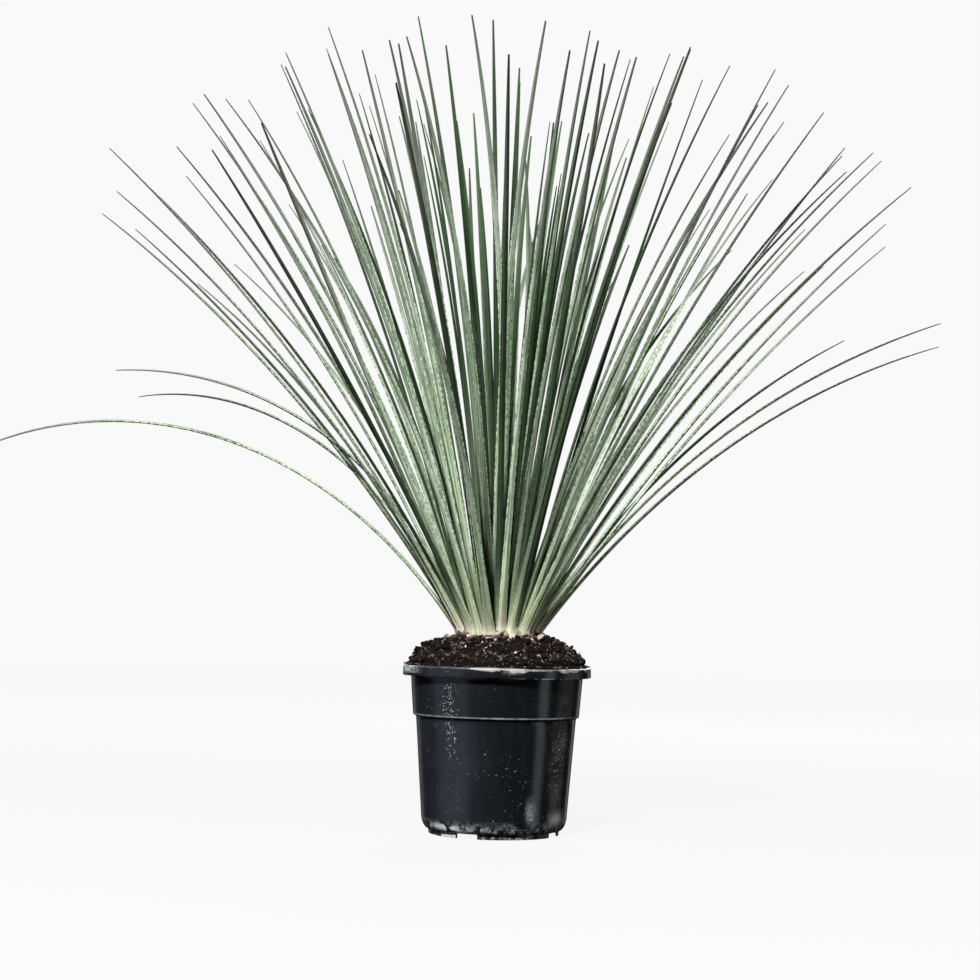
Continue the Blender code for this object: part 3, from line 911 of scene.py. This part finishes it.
def scattered(name, seed, count, sizes, widths, depths, reach, sunk, fineness=2):
    """Loose bits on the mound. The least and most are given of their length, their width and depth as
    shares of it, and their distance from the axis; sunk is how much of their depth is buried."""
    chance = np.random.default_rng(seed)
    corners, faces = lump_shape(fineness)
    bits = []
    for _ in range(count):
        radius = math.sqrt(chance.uniform(reach[0] ** 2, reach[1] ** 2))
        around = chance.uniform(0, 2 * math.pi)
        size = sizes[0] + (sizes[1] - sizes[0]) * chance.random() ** SMALLNESS
        stretch = size / 2 * np.array([1, chance.uniform(*widths), chance.uniform(*depths)])
        shape = corners * chance.uniform(*UNEVENNESS, (len(corners), 1)) * stretch
        turn = Matrix.Rotation(chance.uniform(0, 2 * math.pi), 3, "Z")
        tilt = Matrix.Rotation(chance.normal(0, TILT), 3, "X")
        tilt = tilt @ Matrix.Rotation(chance.normal(0, TILT), 3, "Y")
        x, y = radius * math.cos(around), radius * math.sin(around)
        ground = mound_height(radius) + lumpiness(x, y) if radius < MOUND_RADIUS else POT_HEIGHT
        bits.append(shape @ np.array(turn @ tilt).T + np.array([x, y, ground + stretch[2] * (1 - sunk)]))
    mesh = bpy.data.meshes.new(name)
    all_faces = np.vstack([faces + index * len(corners) for index in range(count)])
    mesh.from_pydata(np.vstack(bits).tolist(), [], all_faces.tolist())
    shades = np.repeat(chance.random(count), len(corners))
    mesh.attributes.new("shade", "FLOAT", "POINT").data.foreach_set("value", shades)
    mesh.shade_flat()
    return mesh


def loose_finish(name, stops, roughness):
    """The finish of bits that each have their own shade."""
    stuff = Finish(name)
    grain = stuff.mottle(stuff.place(), 1300, 4, 0.65)
    shade = (stuff.known("shade") + 0.5 * (grain - 0.5)).rise(0, 1)
    return stuff.surface(stuff.shades(shade, stops), roughness + 0.15 * grain, grain, 0.0006, 0.08)


def lay(name, mesh, finish):
    bits = place(name, mesh, finish)
    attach(bits, "root")


peat_bits = loose_finish("peat crumbs", PEAT_SHADES, 0.80)
bark_bits = loose_finish("bark chips", BARK_SHADES, 0.70)
dry_bark_bits = loose_finish("dry bark chips", DRY_BARK_SHADES, 0.70)
perlite_bits = loose_finish("perlite", PERLITE_SHADES, 0.75)
WIDTHS = (0.55, 0.95)
# Name, seed and finish; then the count, sizes, widths, depths, reach and sunk share, and 1 for coarse shapes.
for name, seed, finish, *kind in (
    ("peat_crumbs", 1, peat_bits, 1500, (0.0016, 0.0062), WIDTHS, (0.5, 0.9), (0.042, 0.0900), 0.2),
    ("peat_clods", 9, moist_peat, 150, (0.0050, 0.0110), WIDTHS, (0.5, 0.9), (0.050, 0.0870), 0.30),
    ("lip_crumbs", 10, peat_bits, 170, (0.0014, 0.0036), WIDTHS, (0.5, 0.9), (0.0895, 0.0940), 0.0),
    ("peat_grains", 5, peat_bits, 6500, (0.0012, 0.0034), WIDTHS, (0.5, 0.9), (0.042, 0.0905), 0.1, 1),
    ("edge_grains", 7, peat_bits, 3000, (0.0012, 0.0034), WIDTHS, (0.5, 0.9), (0.078, 0.0890), 0.1, 1),
    ("rim_grains", 8, peat_bits, 900, (0.0015, 0.0040), WIDTHS, (0.5, 0.9), (0.0880, 0.0908), 0.1, 1),
    ("bark_chips", 2, bark_bits, 420, (0.0018, 0.0070), WIDTHS, (0.15, 0.40), (0.044, 0.088), 0.0),
    ("bark_slivers", 6, bark_bits, 160, (0.0040, 0.0110), (0.08, 0.20), (0.08, 0.15), (0.044, 0.088), -0.4),
    ("crown_chips", 3, dry_bark_bits, 130, (0.0040, 0.0120), WIDTHS, (0.20, 0.50), (0.043, 0.054), -0.6),
    ("perlite_grains", 4, perlite_bits, 70, (0.0012, 0.0036), WIDTHS, (0.6, 0.9), (0.046, 0.0900), 0.0),
):
    lay(name, scattered(name, seed, *kind), finish)


# --------------------------------------------------------------------------------------------------------
# The studio: a plain white sweep, a key light high at the front left, weaker fills from the right and the
# back, and low panels at the sides that show in the pot's plastic, one of them as a stripe. The camera is
# two metres off.
# --------------------------------------------------------------------------------------------------------

SWEEP_RADIUS = 6
SWEEP_WHITE = 0.945
FLOOR_COLOUR = 0.015
NEAR_GLOW = 0.898
FAR_GLOW = 0.935
GLOW_REACH = 3
CAMERA_SPOT = Vector((-0.0113, -2.0, 0.216))
CAMERA_AIM = Vector((-0.0113, 0, 0.346))
CAMERA_ROLL = math.radians(1.3)
FRAME_WIDTH = 0.996  # what the view takes in, at the plant


def sweep(name, build, colour, near_glow, far_glow):
    """A plain part of the white sweep. Its glow makes up for what the lights leave out, so that it is as
    white near the plant, in near_glow, as three metres off and farther, in far_glow."""
    form = bmesh.new()
    build(form)
    mesh = bpy.data.meshes.new(name)
    form.to_mesh(mesh)
    form.free()
    finish = Finish(name)
    shader = finish.shader.inputs
    measure = {"operation": "LENGTH"}
    distance = finish.node("ShaderNodeVectorMath", measure, {0: finish.place()}, output="Value")
    glow = finish.blend(distance.rise(0, GLOW_REACH), [near_glow] * 3, [far_glow] * 3)
    values = {"Base Color": colour, "Roughness": 0.9, "Specular IOR Level": 0}
    values |= {"Emission Color": glow, "Emission Strength": 1}
    for socket, value in values.items():
        finish.feed(shader[socket], value)
    part = place(name, mesh, finish.material)
    return part


def softbox(name, spot, aim, size, watts, colour=(1, 1, 1)):
    light = bpy.data.lights.new(name, "AREA")
    light.color = colour
    light.shape = "RECTANGLE"
    light.size, light.size_y = size
    light.energy = watts
    lamp = bpy.data.objects.new(name, light)
    lamp.location = spot
    lamp.rotation_euler = (Vector(aim) - Vector(spot)).to_track_quat("-Z", "Y").to_euler()
    lamp.visible_camera = False
    bpy.context.scene.collection.objects.link(lamp)


floor = sweep(
    "white_floor",
    lambda form: bmesh.ops.create_circle(form, cap_ends=True, segments=96, radius=SWEEP_RADIUS),
    [FLOOR_COLOUR] * 3,
    NEAR_GLOW,
    FAR_GLOW,
)
floor.visible_diffuse = False
floor.visible_glossy = False
backdrop = sweep(
    "white_backdrop",
    lambda form: bmesh.ops.create_uvsphere(form, u_segments=48, v_segments=24, radius=SWEEP_RADIUS),
    (0, 0, 0),
    SWEEP_WHITE,
    SWEEP_WHITE,
)
backdrop.visible_diffuse = False
backdrop.visible_glossy = False
backdrop.visible_transmission = False
backdrop.visible_shadow = False

world = bpy.data.worlds.new("dim sky")
world.use_nodes = True
world.node_tree.nodes["Background"].inputs["Color"].default_value = (0.93, 0.96, 1.0, 1)
world.node_tree.nodes["Background"].inputs["Strength"].default_value = 0.02
bpy.context.scene.world = world

softbox("key light", (-0.62, -1.91, 1.75), (0, 0, 0.40), (0.30, 0.30), 225)
softbox("top light", (-0.3, -0.3, 2.4), (0, 0, 0.20), (1.0, 1.0), 1)
softbox("low panel", (-1.8, -0.8, -0.10), (0, 0, 0.10), (2.0, 1.2), 1.9, (0.82, 0.88, 1.0))
softbox("right fill", (1.5, -1.3, 1.1), (0, 0, 0.25), (0.8, 0.8), 14)
softbox("stripe light", (1.86, -0.80, -0.10), (0, 0, 0.05), (0.50, 1.8), 1.7, (0.86, 0.97, 1.0))
softbox("right panel", (1.9, 0.60, -0.10), (0, 0, 0.10), (1.2, 1.2), 0.45)
softbox("back fill", (0.35, 2.10, 1.50), (0, 0, 0.30), (1.0, 1.0), 70)
softbox("left rim light", (-1.20, 2.2, 0.10), (0, 0, 0.10), (0.5, 1.2), 0.6)
softbox("right rim light", (1.20, 2.2, 0.10), (0, 0, 0.10), (0.5, 1.2), 0.6)

camera_data = bpy.data.cameras.new("camera")
camera_data.sensor_width = 36
camera_data.lens = camera_data.sensor_width * abs(CAMERA_SPOT.y) / FRAME_WIDTH
camera = bpy.data.objects.new("camera", camera_data)
camera.location = CAMERA_SPOT
facing = (CAMERA_AIM - CAMERA_SPOT).to_track_quat("-Z", "Y").to_matrix().to_4x4()
camera.rotation_euler = (facing @ Matrix.Rotation(CAMERA_ROLL, 4, "Z")).to_euler()
bpy.context.scene.collection.objects.link(camera)
bpy.context.scene.camera = camera
bpy.context.scene.view_settings.view_transform = "Standard"
